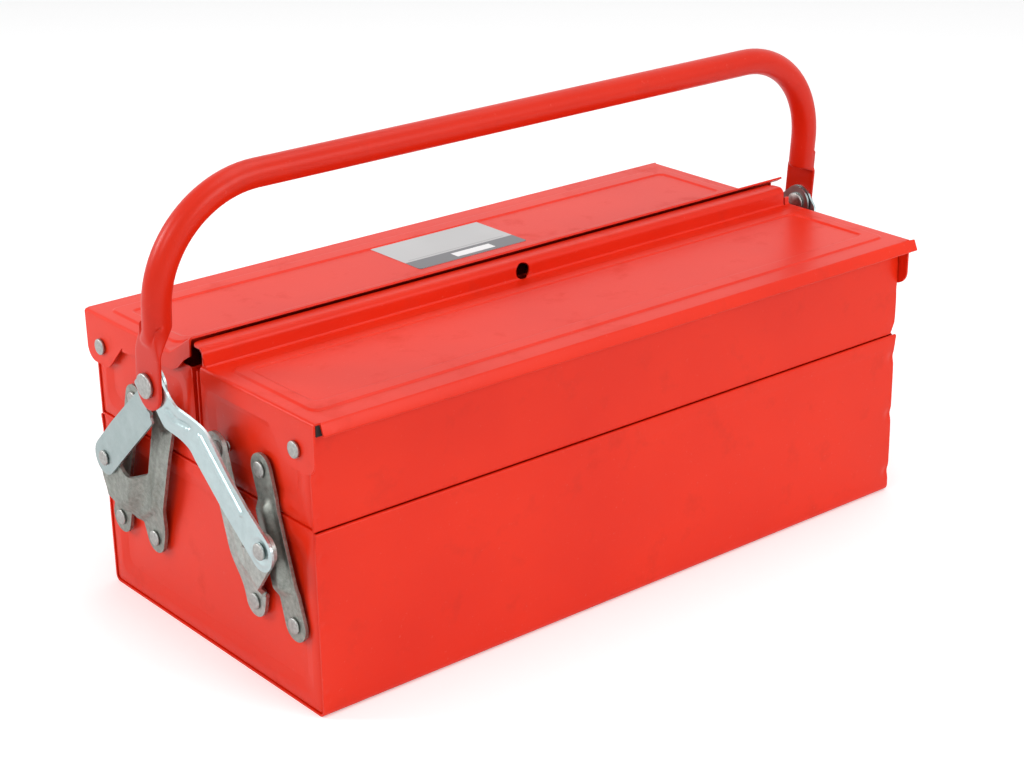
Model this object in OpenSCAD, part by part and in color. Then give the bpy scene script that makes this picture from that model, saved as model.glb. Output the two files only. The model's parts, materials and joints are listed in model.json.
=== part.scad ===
// Cantilever tool box: a base, two trays that swing out on links, a lid on
// each tray and a tube handle that lifts and lowers with the links.
// X runs along the box, -Y is the front, Z is up. The origin is on the floor,
// under the middle of the base. The box is drawn closed, handle upright.

/* [Box] */
// Length of the base and of the trays
box_l = 420; // [380:2:460]
// Depth of the base, front to back
box_d = 206; // [196:1:220]
// Height of the base
base_h = 102.4; // [98:0.2:108]
// Height of a tray's walls
tray_h = 54; // [52:0.5:58]
// Thickness of the painted sheet steel
sheet_t = 1.2; // [1:0.05:1.4]
// Slit between the base's rim and a tray's underside
seam_h = 2.2; // [1.6:0.1:3]
// Gap between the two trays
tray_gap = 4; // [3:0.5:6]

/* [Lids] */
// Height of a lid's outer face above the tray's rim
lid_rise = 4.2; // [4:0.1:5]
// How far a lid's front edge stands out past its tray
lid_overhang = 8.7; // [8:0.1:9.5]
// Depth of the flange folded down at each end of a lid
flange_h = 12.3; // [11:0.1:13]
// Height of the ridge along the front lid's inner edge
ridge_h = 10.8; // [9:0.1:12]
// Distance of the ridge's wall from the middle of the box
ridge_y = 12.6; // [11:0.1:14]
// Diameter of the padlock hole
lock_hole_d = 6.4; // [5:0.1:7]
// Length of the label
label_l = 76; // [60:1:90]
// Depth of the label, front to back
label_w = 52; // [40:1:56]

/* [Linkage] */
// Height of the base's pivots
base_pin_z = 46.6; // [44:0.2:50]
// Distance of the outer base pivot from the base's outer face
outer_pin_inset = 18.1; // [17:0.1:20]
// Distance between the inner and the outer pivots, on the base and on a tray
link_gap = 35.8; // [34:0.1:37]
// How far a tray's pivots lean in over the base's pivots
link_lean = 23.9; // [22:0.1:25]
// Height of a tray's pivots above the tray's underside
tray_pin_h = 19.4; // [18:0.1:21]
// Length of a handle arm, pivot to pivot
arm_l = 102.5; // [101:0.5:106]
// Thickness of the links and arms
strap_t = 2; // [1.6:0.1:2.2]
// Width of a link
link_w = 16; // [14:0.5:17]
// Diameter of the rivets' shanks
pin_d = 5.2; // [4.8:0.1:5.6]

/* [Handle] */
// Diameter of the handle's tube
tube_d = 15.2; // [14:0.2:18]
// Distance of the grip's centre from the handle's pivot
handle_h = 100; // [94:0.5:110]
// How far the handle leans to the front where it is drawn
handle_lean = 5; // [0:0.5:10]
// Radius of the handle's bends
bend_r = 59; // [50:1:64]
// Width of the flattened ends
tab_w = 23; // [22:0.5:27]

/* [Hidden] */

$fn = 48;
FRONT = 1;
BACK = -1;
RIGHT = 1;
LEFT = -1;
PAINT = "firebrick";
ZINC = "lightsteelblue";
STEEL = "darkgray";

// Fits
fit = 0.05;          // radial clearance of a rivet in a hole
slide = 0.1;         // gap between faces that slide on each other
open_hole_gap = 0.7; // clearance of the handle rivet in the back arm

// Levels, as distances from the middle of the box along X
half_l = box_l / 2;
panel_x = half_l - 0.4;              // outer face of an end panel's border
field_x = panel_x - sheet_t;         // outer face of its sunk field
inner_x = field_x - sheet_t;         // inner face of the field
strap_x = half_l + 0.6;              // inner face of the links' ends
crank_x = strap_x + 3.4;             // inner face of the crank's long arm
lobe_x = strap_x + 9.9;              // inner face of the crank's lobe
arm_x = lobe_x + strap_t + slide;    // inner face of an arm at the crank
tab_t = 2.4;                         // thickness of the handle's flattened ends
tab_x = arm_x + 10.9;                // inner face of the flattened ends
front_eye_x = tab_x - slide - strap_t;       // inner face of the front arm's eye
back_eye_x = front_eye_x - slide - strap_t;  // inner face of the back arm's eye
leg_x = tab_x + tab_t + 3 - tube_d / 2;      // centre of the handle's legs
dish_x = strap_x + 2;                // inner face of the dish in a crank
dish_t = 1.6;                        // thickness of the dish's floor
flange_x = strap_x + 0.1;            // inner face of a lid's end flange
lid_t = 1.1;                         // thickness of a lid's sheet
lid_l = flange_x + lid_t;            // half length of a lid
fold_l = half_l - 3.5;               // half length of the lip and the ridge

// Heights and depths
tray_z = base_h + seam_h;
tray_top = tray_z + tray_h;
lid_top = tray_top + lid_rise;
tray_out = box_d / 2 - 0.8;          // outer face of a tray's outer wall
tray_in = tray_gap / 2;              // outer face of its inner wall
hinge_y = tray_out - 9.4;
hinge_z = tray_z + 40.5;
lid_out = tray_out + lid_overhang;
corner_r = 4;                        // outer radius of the base's bottom folds
hem_h = 7;                           // depth of the hem inside a rim

// Pivots of the front linkage, [y, z]; the back one is its mirror image
outer_base_pin = [-(box_d / 2 - outer_pin_inset), base_pin_z];
inner_base_pin = outer_base_pin + [link_gap, 0];
link_rise = tray_z + tray_pin_h - base_pin_z;
link_v = [link_lean, link_rise];
link_l = norm(link_v);
lean_a = atan2(link_lean, link_rise);
outer_tray_pin = outer_base_pin + link_v;
inner_tray_pin = inner_base_pin + link_v;
unit = link_w / 16;                  // pressed outlines are drawn for 16 mm links
lobe_pin = unit * [-38.4, 32.1];     // arm pivot, across and along the crank
arm_pin = inner_base_pin + across(lobe_pin, lean_a);
handle_pin = [0, arm_pin[1] + sqrt(arm_l * arm_l - arm_pin[0] * arm_pin[0])];
arm_a = atan2(-arm_pin[0], handle_pin[1] - arm_pin[1]);
hinge_pin = [-hinge_y, hinge_z];

// Handle
tube_t = 1.2;              // wall of the tube
tube_z = 29;               // height above the pivot where the round tube starts
flat_z = 17;               // height where the flat end stops

// Rivets
head_r = 4.5;
head_h = 1.8;
tall_head_h = 3.2;
tail_h = 1.5;
handle_head_r = 6.7;
handle_head_h = 3.5;
handle_shank_r = 4;

// ---- Geometry helpers -------------------------------------------------

// Turns a point of a leaning frame (across, along) back to [y, z]
function across(p, a) = [p[0] * cos(a) + p[1] * sin(a), p[1] * cos(a) - p[0] * sin(a)];
function arc(c, r, a0, a1, n = 6) =
    [for (i = [0:n]) let (a = a0 + (a1 - a0) * i / n) c + r * [cos(a), sin(a)]];
function left_of(p, i) = let (d = p[i + 1] - p[i]) [-d[1], d[0]] / norm(d);
function shifted(p, i, t) =
    let (last = len(p) - 1, a = left_of(p, max(i - 1, 0)), b = left_of(p, min(i, last - 1)))
    p[i] + t * (a + b) / (1 + a * b);
// Outline of a sheet of thickness t laid along the left of path p
function sheet(p, t) = concat(p, [for (i = [len(p) - 1:-1:0]) shifted(p, i, t)]);
function flip(p) = [for (q = p) [-q[0], q[1]]];

// Draws its 2D children, given as [y, z], between two distances along X
module slab(x0, x1) translate([x0, 0, 0]) rotate([90, 0, 90]) linear_extrude(x1 - x0) children();
// Copies a right-hand end to the chosen end, and a front part to the chosen side
module place(end, side = FRONT) mirror([end == LEFT ? 1 : 0, 0, 0])
    mirror([0, side == BACK ? 1 : 0, 0]) children();
module peg(pin, r, x0, x1) translate([x0, pin[0], pin[1]]) rotate([0, 90, 0]) cylinder(r = r, h = x1 - x0);
module at(pin) translate([0, pin[0], pin[1]]) children();
// Lays a part, drawn upright in X and Z from its lower pivot, along a lean
module leaning(pin, a) at(pin) rotate([-a, 0, 0]) children();

// A rivet along X: domed head outside x1, flat tail inside x0
module rivet(pin, x0, x1, r = pin_d / 2, hr = head_r, hh = head_h) {
    rim = hh * 0.45;
    peg(pin, r, x0 - tail_h, x1 + rim);
    peg(pin, hr * 0.9, x0 - tail_h, x0);
    peg(pin, hr, x1, x1 + rim);
    translate([x1 + rim, pin[0], pin[1]]) rotate([0, 90, 0])
        cylinder(r1 = hr, r2 = hr * 0.62, h = hh - rim);
}
module ring(pin, r, x0, x1) difference() {
    peg(pin, r, x0, x1);
    peg(pin, pin_d / 2 + fit, x0 - 1, x1 + 1);
}

// A rib pressed out of a strap: a capsule between two points [across, along],
// sunk so that it stands h proud of the face at x
module bead(p0, p1, r, h, x) {
    centre = x - r + h;
    d = p1 - p0;
    intersection() {
        union() {
            for (p = [p0, p1]) translate([centre, p[0], p[1]]) sphere(r = r);
            translate([centre, p0[0], p0[1]]) rotate([-atan2(d[0], d[1]), 0, 0])
                cylinder(r = r, h = norm(d));
        }
        translate([x - 0.5, -200, -200]) cube([h + 1, 400, 400]);
    }
}

module round_rect(y0, y1, z0, z1, r) {
    translate([y0 + r, z0]) square([y1 - y0 - 2 * r, z1 - z0]);
    translate([y0, z0 + r]) square([y1 - y0, z1 - z0 - 2 * r]);
    for (y = [y0 + r, y1 - r], z = [z0 + r, z1 - r]) translate([y, z]) circle(r = r);
}

// ---- Sheet-metal boxes --------------------------------------------------

// One sheet folded into the two long walls and the floor, hemmed at both rims
module trough(y0, y1, z0, z1, r) {
    path = concat(
        [[y0, z1]], arc([y0 + r, z0 + r], r, 180, 270),
        arc([y1 - r, z0 + r], r, 270, 360), [[y1, z1]]
    );
    slab(-half_l, half_l) polygon(sheet(path, sheet_t));
    hem_l = inner_x - 1;
    for (y = [y0 + sheet_t / 2, y1 - 2 * sheet_t])
        slab(-hem_l, hem_l) translate([y, z1 - hem_h]) square([1.5 * sheet_t, hem_h]);
}

// End panel that closes a trough: a flat border round a sunk field
module end_panel(y0, y1, z0, z1, r, border, pins, pad = []) {
    a = y0 + sheet_t + slide;
    b = y1 - sheet_t - slide;
    c = z0 + sheet_t + slide;
    top = z1 - border;
    difference() {
        union() {
            difference() {
                slab(field_x, panel_x) polygon(concat(
                    [[a, z1]], arc([a + r, c + r], r, 180, 270),
                    arc([b - r, c + r], r, 270, 360), [[b, z1]]
                ));
                slab(field_x - 1, panel_x + 1)
                    round_rect(a + border, b - border, c + border, top, 8);
            }
            slab(inner_x, field_x) round_rect(
                a + border - sheet_t, b - border + sheet_t,
                c + border - sheet_t, top + sheet_t, 8 + sheet_t
            );
            for (p = pad) peg(p, 7.5, inner_x, panel_x);
        }
        for (p = pins) peg(p, pin_d / 2 + fit, inner_x - 1, panel_x + 1);
    }
}

module base_body() color(PAINT) trough(-box_d / 2, box_d / 2, 0, base_h, corner_r);

module base_end(end) color(PAINT) place(end) end_panel(
    -box_d / 2, box_d / 2, 0, base_h, corner_r - sheet_t, 6.5,
    concat([outer_base_pin, inner_base_pin], flip([outer_base_pin, inner_base_pin]))
);

module tray_body(side) color(PAINT) place(RIGHT, side)
    trough(-tray_out, -tray_in, tray_z, tray_top, corner_r - 1);

module tray_end(end, side) color(PAINT) place(end, side) end_panel(
    -tray_out, -tray_in, tray_z, tray_top, corner_r - 1 - sheet_t, 5.5,
    [outer_tray_pin, inner_tray_pin, hinge_pin], [hinge_pin]
);

// ---- Lids -----------------------------------------------------------------

lip_path = concat(
    [[-lid_out - 1, lid_top - 6.6]],
    arc([-lid_out + 1.6, lid_top - 1.6], 1.6, 180, 90)
);
// Front lid's inner edge: a wall that turns over into a narrow shelf
ridge_path = concat(
    arc([-ridge_y - 1.5, lid_top + 1.5], 1.5, -90, 0, 3),
    arc([-ridge_y + 4, lid_top + ridge_h - 4], 4, 180, 90),
    [[-1.2, lid_top + ridge_h]]
);
// Back lid's inner edge: a ramp that just meets the ridge from above
ramp_foot = -21;
label_x = 5;                         // middle of the label along the box
label_gap = 17.5;                    // from the ramp's foot to the label
label_t = 0.25;
ramp_tip = [0.4, lid_top + ridge_h + 1.7];
ramp_path = [[ramp_foot, lid_top], ramp_tip];

// The flange folded down at an end, with the ear that takes the hinge rivet
module flange(inner_edge) {
    low = lid_top - flange_h;
    ear = hinge_z - 12.6;
    difference() {
        slab(flange_x, lid_l) polygon(concat(
            [[-lid_out + 0.4, lid_top - 0.4]],
            arc([-hinge_y - 7.5, ear + 8.2], 8.2, 185, 270),
            [[-hinge_y + 7, ear]], arc([-hinge_y + 12, ear + 6], 5.5, 290, 320, 2),
            [[-hinge_y + 28.5, low]], inner_edge
        ));
        peg(hinge_pin, pin_d / 2 + fit, flange_x - 1, lid_l + 1);
    }
}

module lock_hole() translate([1.5, -40, lid_top + 3.7]) rotate([-90, 0, 0])
    cylinder(d = lock_hole_d, h = 80);

module lid(edge_path, edge_l, inner_edge) {
    flat_end = edge_path[0];
    slab(-fold_l, fold_l) polygon(sheet(concat(lip_path, [flat_end]), -lid_t));
    slab(-lid_l, lid_l) polygon(sheet([[-lid_out + 1.6, lid_top], flat_end], -lid_t));
    slab(-edge_l, edge_l)
        polygon(sheet(concat([[flat_end[0] - 4, lid_top]], edge_path), -lid_t));
    for (end = [LEFT, RIGHT]) place(end) flange(inner_edge);
}

module front_lid() color(PAINT) difference() {
    lid(ridge_path, fold_l, concat(
        arc([-ridge_y - 1.4, lid_top - flange_h + 4.5], 4.5, 270, 360),
        [[-ridge_y + 3.1, lid_top - 0.4]]
    ));
    lock_hole();
}

module back_lid() color(PAINT) place(RIGHT, BACK) difference() {
    lid(ramp_path, lid_l, [
        [-24, lid_top - flange_h + 1], [-16, lid_top - 8], [-10, lid_top - 3],
        [-2, lid_top + 2], ramp_tip + [-1, -1.2], [ramp_foot, lid_top - 0.6]
    ]);
    mirror([0, 1, 0]) lock_hole();
}

// Bare sticker on the back lid
module lid_label() color("silver")
    translate([label_x - label_l / 2, -ramp_foot + label_gap, lid_top]) cube([label_l, label_w, label_t]);

// ---- Linkage ----------------------------------------------------------------

// Crank: a long arm between base and tray, and a lobe that takes the handle arm
module crank_long_arm() {
    eye_r = link_w / 2 + 0.5;
    bend_0 = unit * 7;         // the strap steps out between these heights
    bend_1 = unit * 15;
    intersection() {
        slab(strap_x - 1, crank_x + strap_t + 1) union() {
            circle(r = eye_r);
            polygon(unit * [[-4, -7.6], [-9, -7], [-15.5, -2], [-13, 6], [-8.5, 14], [0, 14]]);
            translate([-eye_r, 0]) square([2 * eye_r, link_l]);
            translate([0, link_l]) circle(r = eye_r);
        }
        // Side view of the bent strap: [along, x]
        rotate([90, 0, 0]) mirror([0, 0, 1]) translate([0, 0, -30]) linear_extrude(60)
            polygon([for (q = sheet([
                [-20, strap_x], [bend_0, strap_x], [bend_1, crank_x], [link_l + 20, crank_x]
            ], strap_t)) [q[1], q[0]]]);
    }
}

module crank_lobe() intersection() {
    slab(crank_x - 1, lobe_x + strap_t + 1) union() {
        translate(lobe_pin) circle(r = unit * 10.5);
        polygon(unit * [
            [0, 37], [-8, 36.5], [-14, 33.6], [-22, 31.2], [-28.2, 35], lobe_pin / unit,
            [-48.3, 28.6], [-42.7, 17.8], [-37, 11.5], [-34.8, 8.1], [-25, 8.6], [-12, 11], [0, 15]
        ]);
    }
    // End view of the bent sheet: [across, x]
    translate([0, 0, -10]) linear_extrude(80) polygon([for (q = sheet([
        [-70 * unit, lobe_x], [-23 * unit, lobe_x], [-9 * unit, crank_x], [9 * unit, crank_x]
    ], strap_t)) [q[1], q[0]]]);
}

module crank(end, side) color(STEEL) place(end, side) leaning(inner_base_pin, lean_a) difference() {
    tray_eye = [0, link_l];
    dish_r = 6.2;
    union() {
        difference() {
            union() {
                crank_long_arm();
                crank_lobe();
            }
            peg(tray_eye, dish_r, strap_x - 1, crank_x + strap_t + 1);
        }
        // Dish that sinks the tray rivet's head
        difference() {
            peg(tray_eye, dish_r + 1.3, dish_x, crank_x + strap_t - 0.4);
            peg(tray_eye, dish_r, dish_x + dish_t, crank_x + strap_t + 1);
        }
    }
    for (p = [[0, 0], tray_eye, lobe_pin]) peg(p, pin_d / 2 + fit, strap_x - 2, arm_x);
}

// Outer link: a plain strap with a wide rib between its eyes
module link(end, side) color(STEEL) place(end, side) leaning(outer_base_pin, lean_a) difference() {
    union() {
        slab(strap_x, strap_x + strap_t) union() {
            translate([-link_w / 2, 0]) square([link_w, link_l]);
            for (z = [0, link_l]) translate([0, z]) circle(r = link_w / 2);
        }
        bead([0, 21], [0, link_l - 21], 7, 2.6, strap_x + strap_t);
    }
    for (z = [0, link_l]) peg([0, z], pin_d / 2 + fit, strap_x - 1, strap_x + strap_t + 1);
}

// Side view of an arm, [x, along]: level at the crank, stepped out to its eye
function arm_side(eye_x) = sheet([
    [arm_x, -30], [arm_x, arm_l - 37], [eye_x, arm_l - 17], [eye_x, arm_l + 30]
], -strap_t);

module arm(outline, eye_x, eye_hole) difference() {
    intersection() {
        slab(arm_x - 1, tab_x) polygon(outline);
        rotate([90, 0, 0]) translate([0, 0, -40]) linear_extrude(80) polygon(arm_side(eye_x));
    }
    peg([0, 0], pin_d / 2 + fit, arm_x - 2, arm_x + strap_t + 2);
    peg([0, arm_l], eye_hole, eye_x - 2, tab_x + 1);
}

module front_arm(end) color(ZINC) place(end) leaning(arm_pin, arm_a) {
    step = arm_l - unit * 43;  // the arm widens here, just below its step
    u = unit;
    arm(concat(
        [[-9, 36] * u, [-8.6 * u, step], [-6.4 * u, step + 16 * u], [-8.8 * u, step + 30 * u]],
        arc([0, arm_l], 10.5 * u, 180, 0, 12),
        [[15 * u, step + 26 * u], [13.4 * u, step + 18 * u], [12.6 * u, step + 11 * u], [14.2 * u, step], [13, 34] * u],
        arc([1.2 * u, 0], 10.5 * u, 0, -180, 12)
    ), front_eye_x, handle_shank_r + fit);
    bead([3, 20] * u, [0.5 * u, step], 4 * u, 1.5 * u, arm_x + strap_t);
}

module back_arm(end) color(ZINC) place(end, BACK) leaning(arm_pin, arm_a) {
    notch = arm_l - unit * 36; // the arm narrows above this height
    u = unit;
    arm(concat(
        [[-11, 25] * u, [-10.4 * u, notch + 2 * u]],
        arc([0, arm_l], 10 * u, 180, -40, 14),
        [[5.2 * u, arm_l - 12 * u], [5.2 * u, notch], [9 * u, notch - u]],
        arc([-0.3 * u, 0], 10 * u, 0, -180, 12)
    ), back_eye_x, handle_shank_r + open_hole_gap);
}

// ---- Handle -----------------------------------------------------------------

// The bent tube, upright over the pivots
module bent_tube(d) {
    bend_z = handle_h - bend_r;
    grip_l = leg_x - bend_r;
    for (end = [LEFT, RIGHT]) place(end) {
        translate([leg_x, 0, tube_z]) cylinder(d = d, h = bend_z - tube_z);
        translate([grip_l, 0, bend_z]) rotate([90, 0, 0])
            rotate_extrude(angle = 90) translate([bend_r, 0]) circle(d = d);
    }
    translate([-grip_l, 0, handle_h]) rotate([0, 90, 0]) cylinder(d = d, h = 2 * grip_l);
}

// An end of the tube, pressed flat round the pivot
module flat_end() difference() {
    union() {
        slab(tab_x, tab_x + tab_t) union() {
            translate([-tab_w / 2, -2]) square([tab_w, flat_z + 2]);
            translate([0, -2]) circle(d = tab_w);
        }
        hull() {
            translate([leg_x, 0, tube_z]) cylinder(d = tube_d, h = 0.2, $fn = 32);
            translate([tab_x, -tab_w / 2, flat_z - 0.2]) cube([tab_t, tab_w, 0.2]);
        }
    }
    peg([0, 0], handle_shank_r + fit, tab_x - 1, tab_x + tab_t + 1);
}

module handle() color(PAINT) leaning(handle_pin, -handle_lean) difference() {
    union() {
        bent_tube(tube_d);
        for (end = [LEFT, RIGHT]) place(end) flat_end();
    }
    bent_tube(tube_d - 2 * tube_t);
}

module handle_rivet(end) color("gainsboro") place(end) rivet(
    handle_pin, back_eye_x - slide, tab_x + tab_t + slide,
    handle_shank_r, handle_head_r, handle_head_h
);

// ---- Rivets and spacers, grouped by the part that holds them -----------------

module both_ends(side) for (end = [LEFT, RIGHT]) place(end, side) children();
module spacer(pin, x1 = strap_x) ring(pin, 5.6, field_x, x1 - slide);

module base_rivets() color(ZINC) for (side = [FRONT, BACK], p = [outer_base_pin, inner_base_pin])
    both_ends(side) rivet(p, inner_x, strap_x + strap_t + slide);

module base_spacers() color(STEEL) for (side = [FRONT, BACK], p = [outer_base_pin, inner_base_pin])
    both_ends(side) spacer(p);

module tray_rivets(side) color(ZINC) both_ends(side) {
    rivet(outer_tray_pin, inner_x, strap_x + strap_t + slide);
    rivet(inner_tray_pin, inner_x, dish_x + dish_t + slide);
}

module tray_spacers(side) color(STEEL) both_ends(side) {
    spacer(outer_tray_pin);
    spacer(inner_tray_pin, dish_x);
}

module lid_rivets(side) color(ZINC) both_ends(side)
    rivet(hinge_pin, inner_x, lid_l + slide, hh = tall_head_h);

module lid_washers(side) color(STEEL) both_ends(side)
    ring(hinge_pin, 5.6, panel_x, flange_x - slide);

module arm_rivets(side) color(ZINC) both_ends(side)
    rivet(arm_pin, lobe_x, arm_x + strap_t + slide, hh = side == FRONT ? tall_head_h : head_h);

base_body();
base_end(LEFT);  // base_end_left
base_end(RIGHT);  // base_end_right
tray_body(FRONT);  // front_tray_body
tray_end(LEFT, FRONT);  // front_tray_end_left
tray_end(RIGHT, FRONT);  // front_tray_end_right
tray_body(BACK);  // back_tray_body
tray_end(LEFT, BACK);  // back_tray_end_left
tray_end(RIGHT, BACK);  // back_tray_end_right
front_lid();
back_lid();
lid_label();
crank(LEFT, FRONT);  // front_crank_left
crank(RIGHT, FRONT);  // front_crank_right
crank(LEFT, BACK);  // back_crank_left
crank(RIGHT, BACK);  // back_crank_right
link(LEFT, FRONT);  // front_link_left
link(RIGHT, FRONT);  // front_link_right
link(LEFT, BACK);  // back_link_left
link(RIGHT, BACK);  // back_link_right
front_arm(LEFT);  // front_arm_left
front_arm(RIGHT);  // front_arm_right
back_arm(LEFT);  // back_arm_left
back_arm(RIGHT);  // back_arm_right
handle();
handle_rivet(LEFT);  // handle_rivet_left
handle_rivet(RIGHT);  // handle_rivet_right
base_rivets();
base_spacers();
tray_rivets(FRONT);  // front_tray_rivets
tray_spacers(FRONT);  // front_tray_spacers
tray_rivets(BACK);  // back_tray_rivets
tray_spacers(BACK);  // back_tray_spacers
lid_rivets(FRONT);  // front_lid_rivets
lid_washers(FRONT);  // front_lid_washers
lid_rivets(BACK);  // back_lid_rivets
lid_washers(BACK);  // back_lid_washers
arm_rivets(FRONT);  // front_arm_rivets
arm_rivets(BACK);  // back_arm_rivets
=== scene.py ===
import json
import math

import bmesh
import bpy
from mathutils import Matrix, Vector


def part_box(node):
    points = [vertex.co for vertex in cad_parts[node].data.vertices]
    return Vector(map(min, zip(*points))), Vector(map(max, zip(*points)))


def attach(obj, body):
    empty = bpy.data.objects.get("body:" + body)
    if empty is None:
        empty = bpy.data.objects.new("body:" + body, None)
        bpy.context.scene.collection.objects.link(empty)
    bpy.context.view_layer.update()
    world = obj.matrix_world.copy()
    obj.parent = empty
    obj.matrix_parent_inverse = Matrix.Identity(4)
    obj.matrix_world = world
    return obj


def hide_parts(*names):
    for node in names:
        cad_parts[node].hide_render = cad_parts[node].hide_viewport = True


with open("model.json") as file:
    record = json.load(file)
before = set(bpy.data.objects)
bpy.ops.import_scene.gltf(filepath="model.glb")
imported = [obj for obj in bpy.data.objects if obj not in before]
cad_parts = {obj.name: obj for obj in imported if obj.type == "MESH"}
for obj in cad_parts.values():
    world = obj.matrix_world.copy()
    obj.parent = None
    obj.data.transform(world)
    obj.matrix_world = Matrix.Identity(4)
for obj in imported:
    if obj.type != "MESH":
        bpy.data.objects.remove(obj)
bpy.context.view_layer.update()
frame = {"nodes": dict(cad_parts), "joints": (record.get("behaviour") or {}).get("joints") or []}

# ---- Camera, light and floor --------------------------------------------
# A long lens looks down at the near corner from the front left. Soft light
# comes from above, the left and the front, on a plain white floor.
scene = bpy.context.scene
lens = bpy.data.cameras.new("camera")
lens.sensor_width = 36
lens.lens = 77.2
lens.clip_end = 50
camera = bpy.data.objects.new("camera", lens)
pitch, roll, heading = 68.129, 0.804, -39.474
camera.location = (-0.7423, -0.9098, 0.5634)
camera.rotation_euler = [math.radians(angle) for angle in (pitch, roll, heading)]
scene.collection.objects.link(camera)
scene.camera = camera
scene.view_settings.view_transform = "Standard"

world = bpy.data.worlds.new("studio")
scene.world = world
world.use_nodes = True
nodes, links = world.node_tree.nodes, world.node_tree.links
nodes.clear()
sky = nodes.new("ShaderNodeBackground")
sky.inputs["Strength"].default_value = 0.5
backdrop = nodes.new("ShaderNodeBackground")
backdrop.inputs["Color"].default_value = (1, 1, 1, 1)
coordinates = nodes.new("ShaderNodeTexCoord")
split = nodes.new("ShaderNodeSeparateXYZ")
links.new(coordinates.outputs["Generated"], split.inputs[0])
ramp = nodes.new("ShaderNodeValToRGB")
ramp.color_ramp.elements[0].position = 0.0
ramp.color_ramp.elements[0].color = (0.5, 0.5, 0.52, 1)
ramp.color_ramp.elements[1].position = 0.75
ramp.color_ramp.elements[1].color = (1, 1, 1, 1)
links.new(split.outputs["Z"], ramp.inputs["Fac"])
links.new(ramp.outputs["Color"], sky.inputs["Color"])
seen = nodes.new("ShaderNodeLightPath")
choose = nodes.new("ShaderNodeMixShader")
either = nodes.new("ShaderNodeMath")
either.operation = "MAXIMUM"
links.new(seen.outputs["Is Camera Ray"], either.inputs[0])
links.new(seen.outputs["Is Glossy Ray"], either.inputs[1])
links.new(either.outputs[0], choose.inputs[0])
links.new(sky.outputs[0], choose.inputs[1])
links.new(backdrop.outputs[0], choose.inputs[2])
output = nodes.new("ShaderNodeOutputWorld")
links.new(choose.outputs[0], output.inputs[0])


box_middle = Vector((0, 0, 0.1))


def lamp(name, place, size, power):
    """A soft rectangular lamp that faces the middle of the box."""
    data = bpy.data.lights.new(name, "AREA")
    data.shape = "RECTANGLE"
    data.size, data.size_y = size
    data.energy = power
    found = bpy.data.objects.new(name, data)
    turned_to = (Vector(place) - box_middle).to_track_quat("Z", "Y").to_matrix().to_4x4()
    found.matrix_world = Matrix.Translation(place) @ turned_to
    scene.collection.objects.link(found)


lamp("key", (-1.45, 1.2, 1.0), (0.55, 0.55), 15)
lamp("glint", (-1.75, -0.3, 1.25), (0.45, 0.45), 6)
lamp("fill", (0.5, -2.3, 1.15), (1.6, 1.0), 27)
lamp("overhead", (0.3, -0.2, 2.1), (1.8, 1.2), 14.5)

floor_mesh = bpy.data.meshes.new("floor")
floor_r = 9
floor_signs = ((-1, -1), (1, -1), (1, 1), (-1, 1))
floor_corners = [(x * floor_r, y * floor_r, 0) for x, y in floor_signs]
floor_mesh.from_pydata(floor_corners, [], [(0, 1, 2, 3)])
floor = bpy.data.objects.new("floor", floor_mesh)
scene.collection.objects.link(floor)
paper = bpy.data.materials.new("paper")
paper.use_nodes = True
paper_finish = paper.node_tree.nodes["Principled BSDF"]
paper_finish.inputs["Base Color"].default_value = (0.95, 0.95, 0.95, 1)
paper_finish.inputs["Roughness"].default_value = 0.9
paper_finish.inputs["Specular IOR Level"].default_value = 0.1
paper_finish.inputs["Emission Color"].default_value = (1, 1, 1, 1)
glow = paper.node_tree.nodes.new("ShaderNodeMath")
glow.operation = "MULTIPLY"
glow.inputs[1].default_value = 0.25
looked_at = paper.node_tree.nodes.new("ShaderNodeLightPath")
paper.node_tree.links.new(looked_at.outputs["Is Camera Ray"], glow.inputs[0])
paper.node_tree.links.new(glow.outputs[0], paper_finish.inputs["Emission Strength"])
floor_mesh.materials.append(paper)

# ---- Red enamel -----------------------------------------------------------
# The paint on all the sheet steel and the handle: glossy red enamel, sprayed,
# with a fine orange peel and a few handling marks.


def shader_group(name, outputs):
    group = bpy.data.node_groups.new(name, "ShaderNodeTree")
    for label, kind in outputs:
        group.interface.new_socket(label, in_out="OUTPUT", socket_type=kind)
    place = group.nodes.new("ShaderNodeTexCoord")
    ends = group.nodes.new("NodeGroupOutput")
    return group, place.outputs["Object"], ends


def noise(tree, place, scale, detail=2, roughness=0.5):
    node = tree.nodes.new("ShaderNodeTexNoise")
    node.inputs["Scale"].default_value = scale
    node.inputs["Detail"].default_value = detail
    node.inputs["Roughness"].default_value = roughness
    tree.links.new(place, node.inputs["Vector"])
    return node.outputs["Fac"]


def remap(tree, value, low, high, to_low=0, to_high=1):
    node = tree.nodes.new("ShaderNodeMapRange")
    node.clamp = True
    tree.links.new(value, node.inputs["Value"])
    node.inputs["From Min"].default_value = low
    node.inputs["From Max"].default_value = high
    node.inputs["To Min"].default_value = to_low
    node.inputs["To Max"].default_value = to_high
    return node.outputs["Result"]


def bump(tree, height, strength, distance):
    node = tree.nodes.new("ShaderNodeBump")
    node.inputs["Strength"].default_value = strength
    node.inputs["Distance"].default_value = distance
    tree.links.new(height, node.inputs["Height"])
    return node.outputs["Normal"]


def blend_colour(tree, mask, first, second):
    node = tree.nodes.new("ShaderNodeMix")
    node.data_type = "RGBA"
    tree.links.new(mask, node.inputs["Factor"])
    for value, socket in ((first, node.inputs[6]), (second, node.inputs[7])):
        if isinstance(value, tuple):
            socket.default_value = (*value, 1)
        else:
            tree.links.new(value, socket)
    return node.outputs[2]


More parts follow.
